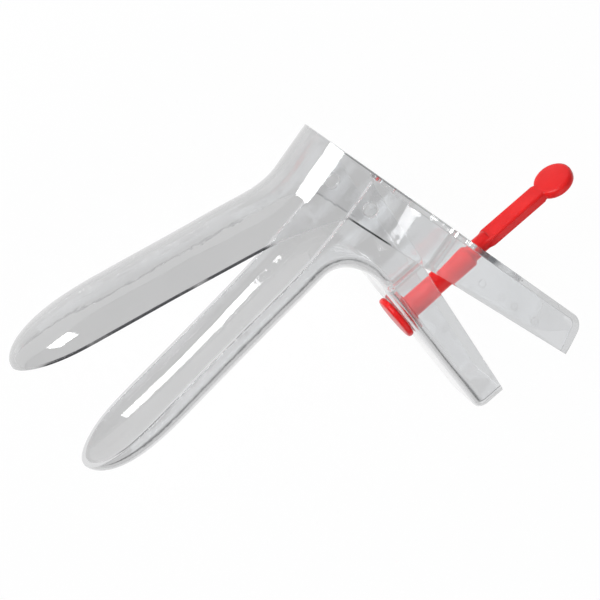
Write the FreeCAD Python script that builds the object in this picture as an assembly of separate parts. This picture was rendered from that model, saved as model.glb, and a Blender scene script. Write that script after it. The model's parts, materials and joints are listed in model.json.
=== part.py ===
import FreeCAD, Part
import math
import os

from FreeCAD import Vector

# A two-blade speculum of clear plastic, held open on its locking pin.
# The pieces are drawn about the hinge: x runs forward, y runs down the handles and z is the hinge axis.
# They are turned at the end so that the lower blade lies along +X, with the instrument on its side.
# All lengths are millimetres and all angles are degrees.

# Wall and clearances
wall = 1.6
ear_gap = 0.3
nest_gap = 0.5
neck_gap = 0.8
seat_gap = 0.15
stud_clearance = 0.06
journal_clearance = 0.07
pass_clearance = 0.2

# Lower valve, blade
lower_slope = 10.2
lower_length = 106.2
lower_half_width = 14.4
lower_depth = 9.4
lower_rim_drop = -0.4
lower_tip_plan = 18.5
lower_tip_side = 30.0
lower_taper = 26.0

# Lower valve, ears and handle
ear_half_width = 15.2
ear_top = 3.9
ear_back = 6.5
ear_front = 7.9
throat_radius = 10.0
front_tilt = 15.5
front_plate_reach = 10.1
front_half_width = 10.0
front_neck_length = 7.0
front_end = 76.3
front_end_depth = 9.2
front_corner = 2.6
front_end_round = 2.5

# Hinge studs
stud_radius = 2.1
stud_dome = 0.5
stud_recess = 0.1

# Upper valve, blade
upper_slope = 28.1
upper_length = 105.6
upper_half_width = 14.4
upper_depth = 9.5
upper_rim_rise = 4.1
upper_rim_bend = 12.0
upper_tip_plan = 20.5
upper_tip_side = 34.0
upper_straight = 32.0
upper_taper = 20.0
upper_flare = 0.5

# Upper valve, mouth and handle
back_reach = 8.9
mouth_crown = 21.3
mouth_arch = 13.3
side_front = 5.5
side_rim_start = 4.0
side_front_low = 4.6
side_front_knee = 25.0
back_end_front = 2.0
back_end = 79.3
back_end_slant = 3.2
back_neck_length = 10.0
back_corner = 2.4
back_end_round = 3.5
sight_low = 9.0

# Slot for the pin in the rear handle
pin_slot_start = 36.2
pin_slot_end = 59.4

# Locking pin
pin_distance = 39.3
pin_rest_twist = -76.0
pin_head_radius = 6.9
pin_head_thickness = 2.0
pin_head_round = 0.8
pin_journal_radius = 4.0
pin_collar_radius = 4.3
pin_collar_length = 1.2
shaft_radius = 3.4
shaft_end = 26.2
neck_radius = 2.6
neck_ease = 1.0
neck_length = 3.8
grip_ease = 3.0
grip_length = 19.3
grip_height = 6.1
grip_thickness = 3.4
grip_chamfer = 0.45
grip_taper = 0.8
paddle_radius = 6.0
paddle_thickness = 3.0
paddle_round = 1.0
paddle_overlap = 1.2

# How far the trimming solids reach past the pieces and through a wall
skirt = 3.0
beyond = 40.0
through_cut = 3 * wall

# Corners of a blade's cross-section as shares of its half-width and depth, and where the lofts have sections
ROUND_ACROSS = 0.93
ROUND_DEEP = 0.76
TIP_ANGLES = (24, 45, 62, 75, 84)
NECK_SHARES = (0, 0.12, 0.25, 0.37, 0.5, 0.63, 0.75, 0.88, 1)
ARCH_SHARES = (0, 0.25, 0.5, 0.75)
THROAT_STEPS = 6
ROUNDING_ANGLES = (0, 30, 60, 90)
ELLIPSE_HANDLE = 0.5523
ACROSS = Vector(0, 0, 1)
HINGE = Vector(0, 0, 0)


def heading(angle):
    """Unit vector in the middle plane, turned from straight ahead towards the handles."""
    turn = math.radians(angle)
    return Vector(math.cos(turn), math.sin(turn), 0)


def line(start, end):
    return Part.LineSegment(start, end).toShape()


def bezier(*poles):
    curve = Part.BezierCurve()
    curve.setPoles(list(poles))
    return curve


def bend(*poles):
    return bezier(*poles).toShape()


def quarter(start, corner, end):
    """Quarter of an ellipse whose tangents meet at corner."""
    return bend(start, start + (corner - start) * ELLIPSE_HANDLE, end + (corner - end) * ELLIPSE_HANDLE, end)


def chain(points):
    return [line(start, end) for start, end in zip(points, points[1:])]


def across_slab(edges):
    """Solid over a closed outline in the middle plane, wider than any piece."""
    face = Part.Face(Part.Wire(edges))
    face.translate(ACROSS * -beyond)
    return face.extrude(ACROSS * (2 * beyond))


def loft(wires, straight=False):
    """Solid through closed sections; straight keeps flat runs flat from one section to the next."""
    return Part.makeLoft(wires, True, straight)


def blend(value):
    """Smooth step from 0 to 1."""
    value = min(1.0, max(0.0, value))
    return value * value * (3 - 2 * value)


def mix(start, end, share):
    return start + (end - start) * share


def share_left(position, end, reach):
    """Share of the full size that a rounded end leaves at a position."""
    past = max(0.0, position - (end - reach))
    return math.sqrt(max(0.0, 1 - (past / reach) ** 2))


def tip_positions(end, reach):
    return [end - reach + reach * math.sin(math.radians(angle)) for angle in TIP_ANGLES]


def section(skin, inward, reach, half_width, corner_across, corner_deep):
    """Closed outline of a channel: skin is the middle of its floor and the sides run inward."""
    def at(depth, side):
        return skin + inward * depth + ACROSS * side

    flat = half_width - corner_across
    return Part.Wire([
        line(at(reach, half_width), at(corner_deep, half_width)),
        quarter(at(corner_deep, half_width), at(0, half_width), at(0, flat)),
        line(at(0, flat), at(0, -flat)),
        quarter(at(0, -flat), at(0, -half_width), at(corner_deep, -half_width)),
        line(at(corner_deep, -half_width), at(reach, -half_width)),
        line(at(reach, -half_width), at(reach, half_width)),
    ])


def blade_section(along, outward, rim, position, inset, half_width, depth, length, plan, side):
    """Section of a blade at a distance from the hinge, shrunk by inset for its hollow."""
    width = (half_width - inset) * share_left(position, length - inset, plan - inset)
    height = (depth - inset) * share_left(position, length - inset, side - inset)
    skin = along * position + outward * (rim + height)
    return section(skin, outward * -1, height + skirt + inset, width, width * ROUND_ACROSS, height * ROUND_DEEP)


def crossing(normal_a, distance_a, normal_b, distance_b):
    """Point at two given distances along two directions."""
    spread = normal_a.x * normal_b.y - normal_a.y * normal_b.x
    return Vector((distance_a * normal_b.y - distance_b * normal_a.y) / spread,
                  (normal_a.x * distance_b - normal_b.x * distance_a) / spread, 0)


# Directions and places that both valves and the pin share
lower_along = heading(-lower_slope)
lower_out = heading(90 - lower_slope)
upper_along = heading(-upper_slope)
upper_out = heading(-90 - upper_slope)
front_out = heading(-front_tilt)
front_along = heading(90 - front_tilt)
mouth_half_width = ear_half_width + ear_gap + wall
back_half_width = front_half_width + nest_gap + wall
throat_centre = crossing(lower_out, lower_rim_drop + lower_depth + throat_radius,
                         front_out, front_plate_reach + throat_radius)
throat_blade = throat_centre.dot(lower_along)
front_neck_start = throat_centre.dot(front_along)
back_neck_start = front_neck_start + neck_gap
back_neck_end = back_neck_start + back_neck_length
pin_slot_width = 2 * (shaft_radius + pass_clearance)
pin_seat = front_along * pin_distance + front_out * front_plate_reach


def lower_blade(inset):
    centre_plan = lower_length - lower_tip_plan
    positions = [throat_blade, throat_blade + lower_taper / 4, throat_blade + lower_taper / 2,
                 throat_blade + lower_taper, throat_blade + 2 * lower_taper, centre_plan]
    wires = []
    for position in positions + tip_positions(lower_length - inset, lower_tip_plan - inset):
        half_width = mix(ear_half_width, lower_half_width, blend((position - throat_blade) / lower_taper))
        wires.append(blade_section(lower_along, lower_out, lower_rim_drop, position, inset, half_width,
                                   lower_depth, lower_length, lower_tip_plan, lower_tip_side))
    return loft(wires)


def throat(inset):
    """The bend from the blade's floor to the front plate, with the ears as its sides."""
    corner = front_corner - inset / 2
    half_width = ear_half_width - inset
    floor = lower_depth - inset
    wires = []
    for index in range(THROAT_STEPS + 1):
        share = index / THROAT_STEPS
        outward = heading(90 - lower_slope - (90 - lower_slope + front_tilt) * share)
        skin = throat_centre - outward * (throat_radius + inset)
        wires.append(section(skin, outward * -1, beyond, half_width,
                             mix(half_width * ROUND_ACROSS, corner, blend(share)),
                             mix(floor * ROUND_DEEP, corner, blend(share))))
    return loft(wires)


def front_handle(inset):
    corner = front_corner - inset / 2
    end = front_end - inset
    end_round = front_end_round - inset
    centre = end - end_round
    neck = [front_neck_start + front_neck_length * share for share in NECK_SHARES]
    wires = []
    for down in neck + [pin_distance, centre] + tip_positions(end, end_round):
        lost = 1 - share_left(down, end, end_round)
        step = blend((down - front_neck_start) / front_neck_length)
        half_width = mix(ear_half_width, front_half_width, step) - inset - corner * lost
        skin = front_along * down + front_out * (front_plate_reach - inset - end_round * lost)
        wires.append(section(skin, front_out * -1, beyond, half_width, corner, corner))
    return loft(wires, straight=True)


def lower_open_side():
    """Everything past the lower valve's rim, ear tops and flange edges."""
    rim_far = lower_along * (lower_length + beyond) + lower_out * lower_rim_drop
    rim_near = lower_along * (throat_blade + lower_taper / 2) + lower_out * lower_rim_drop
    ear_nose = Vector(ear_front, -ear_top, 0)
    ear_heel = Vector(-ear_back, -ear_top, 0)
    flange_end = front_along * front_end + front_out * (front_plate_reach - front_end_depth)
    flange_line = (flange_end - ear_heel).normalize()
    outer = beyond + lower_length
    bend_pole = rim_near - lower_along * (lower_taper / 2)
    edges = [line(rim_far, rim_near), bend(rim_near, bend_pole, ear_nose)]
    edges += chain([ear_nose, ear_heel, flange_end + flange_line * beyond, Vector(-outer, front_end + beyond, 0),
                    Vector(-outer, -outer, 0), Vector(rim_far.x, -outer, 0), rim_far])
    return across_slab(edges)


def hinge_stud():
    base = ear_half_width - wall / 2
    shoulder = mouth_half_width - stud_recess - stud_dome
    top = shoulder + stud_dome
    ball = (stud_radius ** 2 + stud_dome ** 2) / (2 * stud_dome)
    middle_angle = math.asin(stud_radius / ball) / 2
    middle = Vector(ball * math.sin(middle_angle), 0, top - ball + ball * math.cos(middle_angle))
    rim = Vector(stud_radius, 0, shoulder)
    edges = chain([Vector(0, 0, top), Vector(0, 0, base), Vector(stud_radius, 0, base), rim])
    edges.append(Part.Arc(rim, middle, Vector(0, 0, top)).toShape())
    return Part.Face(Part.Wire(edges)).revolve(HINGE, ACROSS, 360)


def slot_face(middle, lengthways, half_length, half_width):
    """Slot with round ends, in the plane of lengthways and the hinge axis."""
    straight = half_length - half_width
    corners = [middle + lengthways * (straight * way) + ACROSS * (half_width * side)
               for way, side in ((-1, -1), (1, -1), (1, 1), (-1, 1))]
    far = middle + lengthways * half_length
    near = middle - lengthways * half_length
    return Part.Face(Part.Wire([line(corners[0], corners[1]), Part.Arc(corners[1], far, corners[2]).toShape(),
                                line(corners[2], corners[3]), Part.Arc(corners[3], near, corners[0]).toShape()]))


def make_lower_valve():
    outer = lower_blade(0).fuse([throat(0), front_handle(0)])
    hollow = lower_blade(wall).fuse([throat(wall), front_handle(wall)])
    valve = outer.cut(hollow).cut(lower_open_side())
    stud = hinge_stud()
    valve = valve.fuse([stud, stud.mirror(HINGE, ACROSS)])
    start = pin_seat + front_out * wall
    through = front_out * -through_cut
    hole = Part.makeCylinder(pin_journal_radius + journal_clearance, through_cut, start, front_out * -1)
    pass_slot = slot_face(start, front_along, paddle_radius + pass_clearance, paddle_thickness / 2 + pass_clearance)
    return valve.cut([hole, pass_slot.extrude(through)])


def back_outline(inset, forward):
    """Arch, side walls, neck and handle of the upper valve, seen from the user's side."""
    wide = mouth_half_width - inset
    narrow = back_half_width - inset
    crown = -mouth_crown + inset
    spring = -mouth_crown + mouth_arch
    flat = wide * (1 - ROUND_ACROSS)
    end = back_end + back_end_slant - inset
    corner = back_corner - inset / 2
    ease = back_neck_length / 2

    def at(down, side):
        return Vector(forward, down, side)

    def half(side):
        return [quarter(at(crown, flat * side), at(crown, wide * side), at(spring, wide * side)),
                line(at(spring, wide * side), at(back_neck_start, wide * side)),
                bend(at(back_neck_start, wide * side), at(back_neck_start + ease, wide * side),
                     at(back_neck_end - ease, narrow * side), at(back_neck_end, narrow * side)),
                line(at(back_neck_end, narrow * side), at(end - corner, narrow * side)),
                quarter(at(end - corner, narrow * side), at(end, narrow * side),
                        at(end, (narrow - corner) * side))]

    edges = half(1) + half(-1)
    edges.append(line(at(crown, flat), at(crown, -flat)))
    edges.append(line(at(end, narrow - corner), at(end, corner - narrow)))
    return Part.Wire(Part.__sortEdges__(edges))


def back_side(inset, sight):
    """Side outline of the mouth and rear handle; sight opens it to the user above the back plate."""
    back = -back_reach + inset
    end = back_end - inset
    end_round = back_end_round - inset
    far = side_front + inset
    top = -mouth_crown - wall
    slant = back_end_slant / (back_reach + side_front)
    turn_end = Vector(back + end_round, end + end_round * slant, 0)
    lower = [quarter(Vector(back, end - end_round, 0), Vector(back, end, 0), turn_end)]
    lower += chain([turn_end, Vector(far, end + (far - back) * slant, 0), Vector(far, top, 0)])
    if sight:
        outside = -back_reach - wall
        return lower + chain([Vector(far, top, 0), Vector(outside, top, 0), Vector(outside, sight_low, 0),
                              Vector(back, sight_low, 0), Vector(back, end - end_round, 0)])
    return lower + chain([Vector(far, top, 0), Vector(back, top, 0), Vector(back, end - end_round, 0)])


def back_solid(inset, sight):
    start = -back_reach - through_cut
    body = Part.Face(back_outline(inset, start)).extrude(Vector(side_front - start + inset, 0, 0))
    return body.common(across_slab(back_side(inset, sight)))


def upper_blade(inset):
    """The blade from the mouth to the tip; its first section is the mouth's own arch."""
    straight_crown = upper_along * upper_straight + upper_out * (upper_rim_rise + upper_depth)
    start_crown = Vector(side_front, -mouth_crown, 0)
    ahead = (straight_crown - start_crown).Length / 3
    crown = bezier(start_crown, start_crown + Vector(ahead, 0, 0), straight_crown - upper_along * ahead,
                   straight_crown)
    wires = []
    for share in ARCH_SHARES:
        tilt = blend(share) * upper_slope
        outward = heading(-90 - tilt)
        half_width = mix(mouth_half_width, upper_half_width + upper_flare, blend(share)) - inset
        deep = mix(mouth_arch, upper_depth * ROUND_DEEP, blend(share)) - inset * mix(1, ROUND_DEEP, blend(share))
        reach = mix(mouth_crown - side_rim_start, upper_depth, share) + skirt
        wires.append(section(crown.value(share) - outward * inset, outward * -1, reach, half_width,
                             half_width * ROUND_ACROSS, deep))
    positions = [upper_straight, upper_straight + upper_taper / 2, upper_straight + upper_taper,
                 upper_length - upper_tip_side, upper_length - (upper_tip_side + upper_tip_plan) / 2,
                 upper_length - upper_tip_plan]
    for position in positions + tip_positions(upper_length - inset, upper_tip_plan - inset):
        step = 1 - blend((position - upper_straight) / upper_taper)
        half_width = upper_half_width + step * upper_flare
        wires.append(blade_section(upper_along, upper_out, upper_rim_rise, position, inset, half_width,
                                   upper_depth, upper_length, upper_tip_plan, upper_tip_side))
    return loft(wires)


def upper_open_side():
    """Everything past the upper valve's rim and the front edges of its side walls."""
    notch = Vector(side_front, -side_rim_start, 0)
    rim_near = upper_along * upper_straight + upper_out * upper_rim_rise
    rim_far = upper_along * (upper_length + beyond) + upper_out * upper_rim_rise
    knee = Vector(side_front_low, side_front_knee, 0)
    foot = Vector(back_end_front, back_end + back_end_slant, 0)
    past_foot = foot + (foot - knee).normalize() * beyond
    edges = [bend(notch, rim_near - upper_along * upper_rim_bend, rim_near)]
    edges += chain([rim_near, rim_far, Vector(rim_far.x, past_foot.y, 0), past_foot, knee, notch])
    return across_slab(edges)


def make_upper_valve():
    back = back_solid(0, False).cut(back_solid(wall, True))
    blade = upper_blade(0).cut(upper_blade(wall))
    valve = back.fuse(blade).cut(upper_open_side())
    slot_middle = Vector(-back_reach - wall, (pin_slot_start + pin_slot_end) / 2, 0)
    slot = slot_face(slot_middle, Vector(0, 1, 0), (pin_slot_end - pin_slot_start) / 2, pin_slot_width / 2)
    hole = Part.makeCylinder(stud_radius + stud_clearance, 2 * beyond, ACROSS * -beyond, ACROSS)
    return valve.cut([slot.extrude(Vector(through_cut, 0, 0)), hole])


def bar(taper, along):
    """Cross-section of the flat grip, drawn with the pin standing on its head."""
    across = grip_height / 2 - taper
    out = grip_thickness / 2 - taper / 2
    quarter_points = [(across, out - grip_chamfer), (across - grip_chamfer, out)]
    half_points = quarter_points + [(-x, y) for x, y in reversed(quarter_points)]
    points = [Vector(x, y, along) for x, y in half_points + [(-x, -y) for x, y in half_points]]
    return Part.Wire(chain(points + points[:1]))


def turned(profile):
    """Solid of revolution about the pin's axis from radius and height pairs."""
    points = [Vector(radius, 0, height) for radius, height in profile]
    return Part.Face(Part.Wire(chain(points + points[:1]))).revolve(HINGE, ACROSS, 360)


def rounded_disc(radius, thickness, rounding):
    """Disc with rounded edges about the z axis, from zero up."""
    rim = []
    for angle in ROUNDING_ANGLES:
        turn = math.radians(angle)
        rim.append((radius - rounding + rounding * math.sin(turn), rounding - rounding * math.cos(turn)))
    upper_rim = [(along, thickness - height) for along, height in reversed(rim)]
    return turned([(0, 0)] + rim + upper_rim + [(0, thickness)])


def make_locking_pin():
    """Drawn standing on its head, with zero at the front plate's outer face."""
    head = rounded_disc(pin_head_radius, pin_head_thickness, pin_head_round)
    head.translate(ACROSS * (-seat_gap - pin_head_thickness))
    journal_end = wall + seat_gap
    collar_end = journal_end + pin_collar_length
    neck_start = shaft_end + neck_ease
    grip_start = neck_start + neck_length
    grip_full = grip_start + grip_ease
    grip_end = grip_full + grip_length
    stem = turned([(0, -seat_gap), (pin_journal_radius, -seat_gap), (pin_journal_radius, journal_end),
                   (pin_collar_radius, journal_end), (pin_collar_radius, journal_end + pin_collar_length / 3),
                   (shaft_radius, collar_end), (shaft_radius, shaft_end), (neck_radius, neck_start),
                   (neck_radius, grip_full), (0, grip_full)])
    grip = loft([bar(grip_taper, grip_start), bar(0, grip_full), bar(0, grip_end),
                 bar(grip_taper / 2, grip_end + paddle_overlap)], straight=True)
    paddle = rounded_disc(paddle_radius, paddle_thickness, paddle_round)
    paddle.rotate(HINGE, Vector(1, 0, 0), 90)
    paddle.translate(Vector(0, paddle_thickness / 2, grip_end + paddle_radius))
    pin = head.fuse([stem, grip, paddle])
    pin.rotate(HINGE, ACROSS, pin_rest_twist)
    pin.Placement = FreeCAD.Placement(pin_seat, FreeCAD.Rotation(front_along, ACROSS * -1, front_out * -1, "ZXY")
                                      ).multiply(pin.Placement)
    return pin


def make_pieces():
    pieces = {"lower_valve": make_lower_valve(), "upper_valve": make_upper_valve(),
              "locking_pin": make_locking_pin()}
    for name, shape in pieces.items():
        solids = shape.removeSplitter().Solids
        pieces[name] = solids[0] if len(solids) == 1 else Part.makeCompound(solids)
        pieces[name].rotate(HINGE, ACROSS, lower_slope)
    return pieces


def resting_origin(pieces):
    """Middle of the footprint, on the surface that the instrument lies on."""
    box = Part.makeCompound(list(pieces.values())).optimalBoundingBox(False)
    return Vector((box.XMin + box.XMax) / 2, (box.YMin + box.YMax) / 2, box.ZMin)


pieces = make_pieces()
origin = resting_origin(pieces)
os.makedirs("parts", exist_ok=True)
for name, shape in pieces.items():
    shape.translate(origin * -1)
    shape.exportStep("parts/" + name + ".step")
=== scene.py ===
import json
import math

import bpy
import bmesh
from mathutils import Matrix, Vector


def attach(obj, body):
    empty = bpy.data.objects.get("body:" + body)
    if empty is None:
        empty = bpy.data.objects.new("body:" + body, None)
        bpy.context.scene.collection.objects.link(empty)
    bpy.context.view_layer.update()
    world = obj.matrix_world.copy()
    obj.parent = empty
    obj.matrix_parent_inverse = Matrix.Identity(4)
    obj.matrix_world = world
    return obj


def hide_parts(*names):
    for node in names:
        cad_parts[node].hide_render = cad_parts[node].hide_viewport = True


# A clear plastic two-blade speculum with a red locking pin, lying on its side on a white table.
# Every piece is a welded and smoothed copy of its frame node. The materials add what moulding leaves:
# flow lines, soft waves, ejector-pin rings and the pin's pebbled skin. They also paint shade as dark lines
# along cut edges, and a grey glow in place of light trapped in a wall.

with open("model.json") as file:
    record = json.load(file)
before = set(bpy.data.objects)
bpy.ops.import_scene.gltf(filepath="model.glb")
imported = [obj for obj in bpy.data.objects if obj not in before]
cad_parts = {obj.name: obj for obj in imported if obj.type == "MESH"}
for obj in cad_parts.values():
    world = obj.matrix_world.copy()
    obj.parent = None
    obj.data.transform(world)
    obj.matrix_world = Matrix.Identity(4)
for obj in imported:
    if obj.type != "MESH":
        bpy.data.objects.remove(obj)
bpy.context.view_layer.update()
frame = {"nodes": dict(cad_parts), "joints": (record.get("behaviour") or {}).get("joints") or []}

MM = 0.001

# The hinge, from which the places on the instrument are measured
blade_hinge = next(joint for joint in frame["joints"] if joint["name"] == "blade_hinge")
hinge = Vector(blade_hinge["pos_m"])
hinge_axis = Vector(blade_hinge["axis"]).normalized()

# How far the upper valve's back plate is turned from square to the lower blade, and its blade from the
# lower blade's direction
BACK_PLATE_TURN = math.radians(10.2)
UPPER_BLADE_TURN = math.radians(-17.9)

forward = Vector((math.cos(BACK_PLATE_TURN), math.sin(BACK_PLATE_TURN), 0))
handleward = Vector((-math.sin(BACK_PLATE_TURN), math.cos(BACK_PLATE_TURN), 0))
blade_along = Vector((math.cos(UPPER_BLADE_TURN), math.sin(UPPER_BLADE_TURN), 0))
blade_inward = Vector((-math.sin(UPPER_BLADE_TURN), math.cos(UPPER_BLADE_TURN), 0))

# Cut edges of the upper valve, along which shade is painted as dark lines: the blade's rim, the front
# edges of the side walls, the rear edge of the mouth and the long sides of the slot in the back plate
UPPER_RIM_RISE = 4.1 * MM
RIM_FROM = 26.0 * MM
RIM_TO = 104.0 * MM
SIDE_FRONT = 5.5 * MM
SIDE_FRONT_LOW = 4.94 * MM
SIDE_FROM = -6.0 * MM
SIDE_TO = 14.0 * MM
BACK_REACH = 8.9 * MM
MOUTH_FROM = -19.0 * MM
MOUTH_TO = 35.0 * MM
SLOT_HALF = 3.6 * MM
SLOT_FROM = 37.0 * MM
SLOT_TO = 61.0 * MM

# The painted shade, dark lines drawn along these edges: tone, half width, the share of it that is fully
# dark, soft ends, strength on the lower side, how far from the middle plane that starts, and strength at the
# mouth
EDGE_PAINTED_SHADE = (0.012, 0.012, 0.015, 1.0)
EDGE_LINE = 0.55 * MM
EDGE_CORE = 0.7
EDGE_FADE = 5.0 * MM
EDGE_FAR = 0.3
EDGE_MIDDLE = 1.0 * MM
MOUTH_LINE = 0.5

# Smudge values between which a painted dark line of shade breaks up
EDGE_BROKEN = 0.30
EDGE_WHOLE = 0.45

# Ejector-pin rings on the rear handle's flanges: places, radius, the shares of it at which a ring begins
# and ends, and how much it stands out
MARK_FORWARD = -0.65 * MM
MARK_HEIGHT = 12.1 * MM
MARKS_DOWN = (57.7 * MM, 66.0 * MM)
MARK_RADIUS = 1.1 * MM
MARK_INSIDE = 0.75
MARK_OUTSIDE = 1.25
MARK_RELIEF = 0.35

# Radius that light sees on every sharp edge of the clear plastic and of the pin
EDGE_ROUND = 0.45 * MM
PIN_ROUND = 1.0 * MM
ROUND_SAMPLES = 6

# Clear polystyrene: its tone where it is smudged and where it is clean, with the smudge values, and the
# share of a shadow ray that passes it
CLEAR_DARK = (0.965, 0.968, 0.972, 1.0)
CLEAR_LIGHT = (0.995, 0.995, 1.0, 1.0)
SMUDGED = 0.35
CLEAN = 0.65
CLEAR_IOR = 1.59
CLEAR_SHADOW = 0.9

# Its patterns, in cycles per metre: flow lines along the blade, soft waves, smudges and scuffs
FLOW_STRETCH = (9.0, 75.0, 75.0)
WAVE_SCALE = 45.0
SMUDGE_SCALE = 45.0
SCUFF_SCALE = 1400.0

# How much the patterns show: relief of the waves against the flow lines and of both together, the noise
# values from which scuffs show, and how much scuffs and smudges dull the gloss
WAVE_RELIEF = 2.0
CLEAR_RELIEF = 0.35
CLEAR_RELIEF_DEPTH = 1.0 * MM
SCUFF_FROM = 0.60
SCUFF_TO = 0.75
SCUFF_DULLS = 0.06
SMUDGE_DULLS = 0.06

# Reflections inside a wall after which light counts as trapped, and the tone of the painted glow that stands
# in for it in either valve
GUIDED_BOUNCES = 2.5
PAINTED_GLOW_LOWER = 0.70
PAINTED_GLOW_UPPER = 0.60
PAINTED_GLOW_BLUE = 1.01

# Red plastic: two tones in soft clouds, fine grain, gloss, and light that spreads under the skin
RED_DARK = (0.66, 0.010, 0.011, 1.0)
RED_LIGHT = (0.74, 0.016, 0.016, 1.0)
RED_DARK_UNDER = 0.3
RED_LIGHT_OVER = 0.7
CLOUD_SCALE = 160.0
GRAIN_SCALE = 1800.0
GRAIN_RELIEF = 0.15
GRAIN_DEPTH = 0.3 * MM
RED_ROUGHNESS = 0.24
GRAIN_DULLS = 0.12
RED_IOR = 1.5
RED_GLOSS = 0.22
RED_SPREAD = 0.15
RED_SPREAD_REACH = 2.0 * MM
RED_SPREAD_SHARES = (1.0, 0.2, 0.1)

# Welding and smoothing of the frame's loose triangles
WELD_DISTANCE = 2e-6
SLIVER_LENGTH = 1e-6
CREASE = math.radians(32.0)

# Camera: it stands in the back plate's own plane, tilted off the hinge axis
VIEW_TILT = math.radians(26.0)
VIEW_YAW = math.radians(-3.96)
VIEW_ROLL = math.radians(35.3)
VIEW_WIDTH = 0.1698
VIEW_DISTANCE = 0.60
VIEW_NEAREST = 0.01
SENSOR = 36.0
MIDDLE_FORWARD = 32.55 * MM
MIDDLE_DOWN = 6.46 * MM

# Table: half its size, how far it lies under the instrument, how white it is by itself, how much of that
# bent light sees, how far its white middle is shifted, and where and to what the white fades
TABLE_HALF = 3.0
TABLE_DROP = 0.4 * MM
TABLE_GLOW = 0.96
TABLE_THROUGH = 0.565
TABLE_LEAN = 0.22
TABLE_WHITE = 0.33
TABLE_DIM = 0.48
TABLE_DIM_TONE = 0.08
TABLE_MATT = (0.92, 0.92, 0.93, 1.0)

# Studio around the table: how bright it is for plain light and for reflections
SKY_PLAIN = 0.22
SKY_MIRRORED = 0.5

# Lamps: place from the picture's middle, width and height, and power
OVERHEAD = ((0.05, 0.15, 0.75), (0.60, 0.60), 1.2)
FILL = ((0.10, 0.70, 0.30), (0.60, 0.60), 1.7)
WINDOW = ((0.08, -0.58, 0.20), (0.22, 0.42), 3.6)
SKYLIGHT = ((0.04, 0.61, 0.60), (0.90, 0.64), 1.9)
SKYLIGHT_BLUE = (0.90, 0.96, 1.0)

BLACK = (0.0, 0.0, 0.0, 1.0)
WHITE = (1.0, 1.0, 1.0, 1.0)


class Socket:
    """A shader value that adds Math nodes when it is used in an expression."""

    def __init__(self, shader, output):
        self.shader = shader
        self.output = output

    def _maths(self, operation, *values):
        return self.shader.node("ShaderNodeMath", {"operation": operation}, values)

    def __add__(self, other):
        return self._maths("ADD", self, other)

    __radd__ = __add__

    def __mul__(self, other):
        return self._maths("MULTIPLY", self, other)

    __rmul__ = __mul__

    def __sub__(self, other):
        return self._maths("SUBTRACT", self, other)

    def __rsub__(self, other):
        return self._maths("SUBTRACT", other, self)

    def __gt__(self, other):
        return self._maths("GREATER_THAN", self, other)

    def __lt__(self, other):
        return self._maths("LESS_THAN", self, other)

    def or_more(self, other):
        """The larger of two values."""
        return self._maths("MAXIMUM", self, other)


class Shader:
    """Builds the nodes of one material or world."""

    def __init__(self, owner):
        self.owner = owner
        owner.use_nodes = True
        self.tree = owner.node_tree
        self.tree.nodes.clear()

    def node(self, kind, settings=None, values=(), output=0):
        """Adds a node with its settings, then the values or links of its sockets."""
        made = self.tree.nodes.new(kind)
        for name, value in (settings or {}).items():
            if name == "stops":
                for element, (position, colour) in zip(made.color_ramp.elements, value):
                    element.position = position
                    element.color = colour
            else:
                setattr(made, name, value)
        pairs = values.items() if isinstance(values, dict) else enumerate(values)
        for key, value in pairs:
            if isinstance(value, Socket):
                self.tree.links.new(value.output, made.inputs[key])
            else:
                made.inputs[key].default_value = value
        return Socket(self, made.outputs[output])

    def finish(self, surface, kind="ShaderNodeOutputMaterial"):
        out = self.tree.nodes.new(kind)
        self.tree.links.new(surface.output, out.inputs["Surface"])
        return self.owner


def rays(s, kind):
    """1 for one kind of ray, 0 for the others."""
    return s.node("ShaderNodeLightPath", output="Is %s Ray" % kind)


def noise(s, place, scale, detail):
    """A soft random pattern of that many cycles per unit of place."""
    return s.node("ShaderNodeTexNoise", {}, {"Vector": place, "Scale": scale, "Detail": detail})


def blended(s, value, low, low_colour, high, high_colour):
    """A colour that runs from one tone at low to another at high."""
    stops = [(low, low_colour), (high, high_colour)]
    return s.node("ShaderNodeValToRGB", {"stops": stops}, {0: value})


def stepped(s, value, low, high, low_tone=0.0, high_tone=1.0):
    """Smooth step from low_tone at low to high_tone at high."""
    return s.node("ShaderNodeMapRange", {"interpolation_type": "SMOOTHSTEP"},
                  {"Value": value, "From Min": low, "From Max": high,
                   "To Min": low_tone, "To Max": high_tone})


def measured(s, place, start, direction):
    """How far a point of the surface lies past start along a direction."""
    offset = s.node("ShaderNodeVectorMath", {"operation": "SUBTRACT"}, [place, start])
    return s.node("ShaderNodeVectorMath", {"operation": "DOT_PRODUCT"}, [offset, direction], output="Value")


def relief(s, height, strength, depth, round_edges):
    """The surface's direction, with its edges rounded and a height pattern on it."""
    rounded = s.node("ShaderNodeBevel", {"samples": ROUND_SAMPLES}, {"Radius": round_edges})
    return s.node("ShaderNodeBump", {}, {"Strength": strength, "Distance": depth, "Height": height,
                                         "Normal": rounded})


def painted_shade_line(s, place, start, end, outward):
    """1 within a thin line of painted shade along a cut edge, fading in and out at its ends."""
    length = (end - start).length
    down = measured(s, place, start, (end - start).normalized())
    off = measured(s, place, start, outward)
    core = EDGE_CORE * EDGE_LINE
    line = stepped(s, off, -EDGE_LINE, -core) * stepped(s, off, EDGE_LINE, core)
    upper_side = stepped(s, measured(s, place, hinge, hinge_axis), -EDGE_MIDDLE, EDGE_MIDDLE)
    strength = upper_side * (1.0 - EDGE_FAR) + EDGE_FAR
    ends = stepped(s, down, 0.0, EDGE_FADE) * stepped(s, down, length, length - EDGE_FADE)
    return line * strength * ends


def ejector_ring(s, place, centre):
    """Raised ring that an ejector pin leaves."""
    away = s.node("ShaderNodeVectorMath", {"operation": "DISTANCE"}, [place, centre], output="Value")
    inside = stepped(s, away, MARK_INSIDE * MARK_RADIUS, MARK_RADIUS)
    return inside * stepped(s, away, MARK_OUTSIDE * MARK_RADIUS, MARK_RADIUS)


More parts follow.
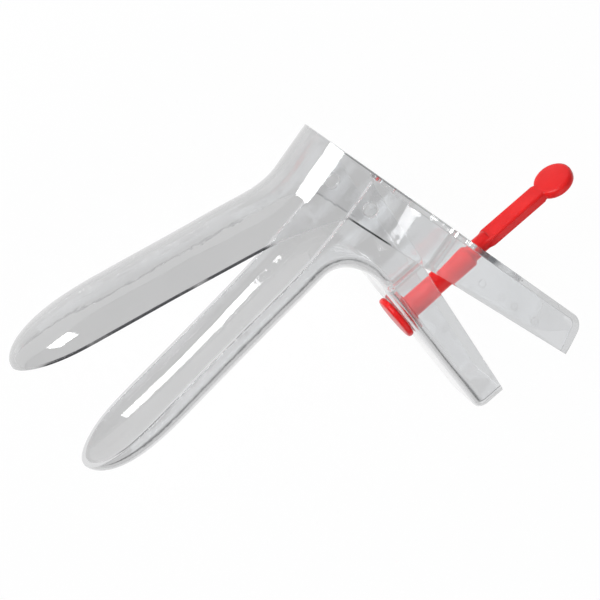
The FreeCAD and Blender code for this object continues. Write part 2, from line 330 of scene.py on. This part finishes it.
def clear_polystyrene(name, flow_turn, trapped, painted_edge_lines=(), rings=()):
    """Clear plastic with flow lines along the blade, soft waves, faint smudges and a few scuffs, with
    painted shade as dark lines along cut edges and a painted grey glow for light trapped in a wall.
    """
    s = Shader(bpy.data.materials.new(name))
    place = s.node("ShaderNodeTexCoord", output="Object")
    along = s.node("ShaderNodeMapping", {}, {"Vector": place, "Rotation": (0, 0, -flow_turn),
                                             "Scale": FLOW_STRETCH})
    smudges = noise(s, place, SMUDGE_SCALE, detail=4.0)
    scuffs = blended(s, noise(s, place, SCUFF_SCALE, detail=3.0), SCUFF_FROM, BLACK, SCUFF_TO, WHITE)
    flow = noise(s, along, scale=1.0, detail=2.0)
    height = flow + noise(s, place, WAVE_SCALE, detail=1.0) * WAVE_RELIEF
    for centre in rings:
        height = height + ejector_ring(s, place, centre) * MARK_RELIEF
    tint = blended(s, smudges, SMUDGED, CLEAR_DARK, CLEAN, CLEAR_LIGHT)
    # Painted shade: dark lines along the cut edges, broken up where the plastic is smudged
    for start, end, outward, strength in painted_edge_lines:
        line = painted_shade_line(s, place, start, end, outward) * strength
        painted_shade = line * stepped(s, smudges, EDGE_BROKEN, EDGE_WHOLE)
        tint = s.node("ShaderNodeMixRGB", {}, [painted_shade, tint, EDGE_PAINTED_SHADE])
    plastic = s.node("ShaderNodeBsdfPrincipled", {}, {
        "Base Color": tint,
        "Roughness": scuffs * SCUFF_DULLS + smudges * SMUDGE_DULLS,
        "IOR": CLEAR_IOR,
        "Transmission Weight": 1.0,
        "Normal": relief(s, height, CLEAR_RELIEF, CLEAR_RELIEF_DEPTH, EDGE_ROUND),
    })
    # Painted light: light that keeps bouncing inside a wall is replaced by a glow of a set grey, at about
    # the tone of what is around
    bounces = s.node("ShaderNodeLightPath", output="Glossy Depth")
    painted_glow_tone = (trapped, trapped, trapped * PAINTED_GLOW_BLUE, 1.0)
    glow = s.node("ShaderNodeEmission", {}, {"Color": painted_glow_tone, "Strength": 1.0})
    seen = s.node("ShaderNodeMixShader", {}, [bounces > GUIDED_BOUNCES, plastic, glow])
    lit_through = s.node("ShaderNodeBsdfTransparent", {}, {"Color": CLEAR_DARK})
    return s.finish(s.node("ShaderNodeMixShader", {}, [rays(s, "Shadow") * CLEAR_SHADOW, seen, lit_through]))


def red_moulding(name):
    """Glossy red plastic with a slightly pebbled skin."""
    s = Shader(bpy.data.materials.new(name))
    place = s.node("ShaderNodeTexCoord", output="Object")
    clouds = noise(s, place, CLOUD_SCALE, detail=2.0)
    grain = noise(s, place, GRAIN_SCALE, detail=2.0)
    return s.finish(s.node("ShaderNodeBsdfPrincipled", {}, {
        "Base Color": blended(s, clouds, RED_DARK_UNDER, RED_DARK, RED_LIGHT_OVER, RED_LIGHT),
        "Roughness": grain * GRAIN_DULLS + RED_ROUGHNESS,
        "IOR": RED_IOR,
        "Specular IOR Level": RED_GLOSS,
        "Subsurface Weight": RED_SPREAD,
        "Subsurface Scale": RED_SPREAD_REACH,
        "Subsurface Radius": RED_SPREAD_SHARES,
        "Normal": relief(s, grain, GRAIN_RELIEF, GRAIN_DEPTH, PIN_ROUND),
    }))


def upper_painted_edge_lines():
    """Start, end, outward direction and strength of each painted dark line of shade on the upper valve."""
    rim = hinge - blade_inward * UPPER_RIM_RISE
    side_top = hinge + forward * SIDE_FRONT + handleward * SIDE_FROM
    side_low = hinge + forward * SIDE_FRONT_LOW + handleward * SIDE_TO
    side_out = (side_low - side_top).normalized().cross(hinge_axis)
    back = hinge - forward * BACK_REACH
    edges = [
        (rim + blade_along * RIM_FROM, rim + blade_along * RIM_TO, blade_inward, 1.0),
        (side_top, side_low, side_out, 1.0),
        (back + handleward * MOUTH_FROM, back + handleward * MOUTH_TO, forward, MOUTH_LINE),
    ]
    for side in (1, -1):
        slot_side = back + hinge_axis * SLOT_HALF * side
        edges.append((slot_side + handleward * SLOT_FROM, slot_side + handleward * SLOT_TO, hinge_axis, 1.0))
    return edges


def flange_ring_places():
    """Middles of the ejector-pin rings on both flanges of the rear handle."""
    flange = hinge + forward * MARK_FORWARD
    return [flange + handleward * down + hinge_axis * MARK_HEIGHT * side
            for down in MARKS_DOWN for side in (1, -1)]


def moulded_piece(node, material):
    """A welded, smoothly shaded copy of a frame node."""
    name = node + "_moulding"
    mesh = frame["nodes"][node].data.copy()
    mesh.name = name
    build = bmesh.new()
    build.from_mesh(mesh)
    bmesh.ops.remove_doubles(build, verts=build.verts, dist=WELD_DISTANCE)
    bmesh.ops.dissolve_degenerate(build, edges=build.edges, dist=SLIVER_LENGTH)
    for face in build.faces:
        face.smooth = True
    for edge in build.edges:
        edge.smooth = len(edge.link_faces) == 2 and edge.calc_face_angle(0.0) < CREASE
    build.to_mesh(mesh)
    build.free()
    mesh.materials.clear()
    mesh.materials.append(material)
    piece = bpy.data.objects.new(name, mesh)
    bpy.context.scene.collection.objects.link(piece)
    return piece


def set_camera():
    """Places the camera and returns the point it looks at."""
    plain = hinge_axis * math.cos(VIEW_TILT) - handleward * math.sin(VIEW_TILT)
    sideways = handleward * math.cos(VIEW_TILT) + hinge_axis * math.sin(VIEW_TILT)
    toward = plain * math.cos(VIEW_YAW) + forward * math.sin(VIEW_YAW)
    onward = forward * math.cos(VIEW_YAW) - plain * math.sin(VIEW_YAW)
    right = sideways * math.cos(VIEW_ROLL) - onward * math.sin(VIEW_ROLL)
    up = -(onward * math.cos(VIEW_ROLL) + sideways * math.sin(VIEW_ROLL))
    target = hinge + forward * MIDDLE_FORWARD + handleward * MIDDLE_DOWN
    data = bpy.data.cameras.new("camera")
    data.sensor_width = SENSOR
    data.lens = SENSOR * VIEW_DISTANCE / VIEW_WIDTH
    data.clip_start = VIEW_NEAREST
    camera = bpy.data.objects.new("camera", data)
    bpy.context.scene.collection.objects.link(camera)
    place = Matrix((right, up, toward)).transposed().to_4x4()
    place.translation = target + toward * VIEW_DISTANCE
    camera.matrix_world = place
    bpy.context.scene.camera = camera
    return target


def white_table(target):
    """White where the picture looks and darker far off, so that bent light draws edges in the plastic."""
    mesh = bpy.data.meshes.new("table")
    corners = [(TABLE_HALF * x, TABLE_HALF * y, 0) for x, y in ((-1, -1), (1, -1), (1, 1), (-1, 1))]
    mesh.from_pydata(corners, [], [(0, 1, 2, 3)])
    table = bpy.data.objects.new("table", mesh)
    table.location = (target.x, target.y - TABLE_LEAN, -TABLE_DROP)
    bpy.context.scene.collection.objects.link(table)
    s = Shader(bpy.data.materials.new("table_white"))
    seen = rays(s, "Camera")
    through = rays(s, "Transmission")
    place = s.node("ShaderNodeTexCoord", output="Object")
    away = s.node("ShaderNodeVectorMath", {"operation": "LENGTH"}, [place], output="Value")
    fade = stepped(s, away, TABLE_WHITE, TABLE_DIM, 1.0, TABLE_DIM_TONE)
    white = seen.or_more(fade * (1.0 - through * (1.0 - TABLE_THROUGH)))
    share = seen.or_more(through).or_more(rays(s, "Glossy")) * TABLE_GLOW
    matt = s.node("ShaderNodeBsdfDiffuse", {}, {"Color": TABLE_MATT})
    glow = s.node("ShaderNodeEmission", {}, {"Color": white, "Strength": 1.0})
    mesh.materials.append(s.finish(s.node("ShaderNodeMixShader", {}, [share, matt, glow])))


def studio():
    """White behind the object, dim for the light on it and brighter in its reflections."""
    s = Shader(bpy.data.worlds.new("studio"))
    reflected = rays(s, "Glossy") * (1.0 - rays(s, "Transmission"))
    around = reflected * (SKY_MIRRORED - SKY_PLAIN) + SKY_PLAIN
    sky = s.node("ShaderNodeBackground", {}, {"Color": rays(s, "Camera").or_more(around)})
    bpy.context.scene.world = s.finish(sky, "ShaderNodeOutputWorld")


def lamp(name, target, description, colour=WHITE[:3], mirrored=True):
    """An area lamp that faces the target; one that isn't mirrored shows in no reflection."""
    offset, (width, height), power = description
    data = bpy.data.lights.new(name, "AREA")
    data.shape = "RECTANGLE"
    data.size = width
    data.size_y = height
    data.energy = power
    data.color = colour
    made = bpy.data.objects.new(name, data)
    made.location = target + Vector(offset)
    made.rotation_euler = (target - made.location).to_track_quat("-Z", "Y").to_euler()
    made.visible_glossy = mirrored
    made.visible_transmission = mirrored
    bpy.context.scene.collection.objects.link(made)


bpy.context.scene.view_settings.view_transform = "Standard"
picture_middle = set_camera()
studio()
lamp("overhead", picture_middle, OVERHEAD, mirrored=False)
lamp("fill", picture_middle, FILL, mirrored=False)
lamp("window", picture_middle, WINDOW)
lamp("skylight", picture_middle, SKYLIGHT, colour=SKYLIGHT_BLUE)
white_table(picture_middle)

clear_lower = clear_polystyrene("clear_polystyrene_lower", 0.0, PAINTED_GLOW_LOWER)
clear_upper = clear_polystyrene("clear_polystyrene_upper", UPPER_BLADE_TURN, PAINTED_GLOW_UPPER,
                                upper_painted_edge_lines(), flange_ring_places())
red = red_moulding("red_moulding")

for node, body, material, slot in (("upper_valve", "upper", clear_upper, "clear_plastic"),
                                   ("lower_valve", "lower", clear_lower, "clear_plastic"),
                                   ("locking_pin", "pin", red, "red_plastic")):
    piece = moulded_piece(node, material)
    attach(piece, body)
    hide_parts(node)
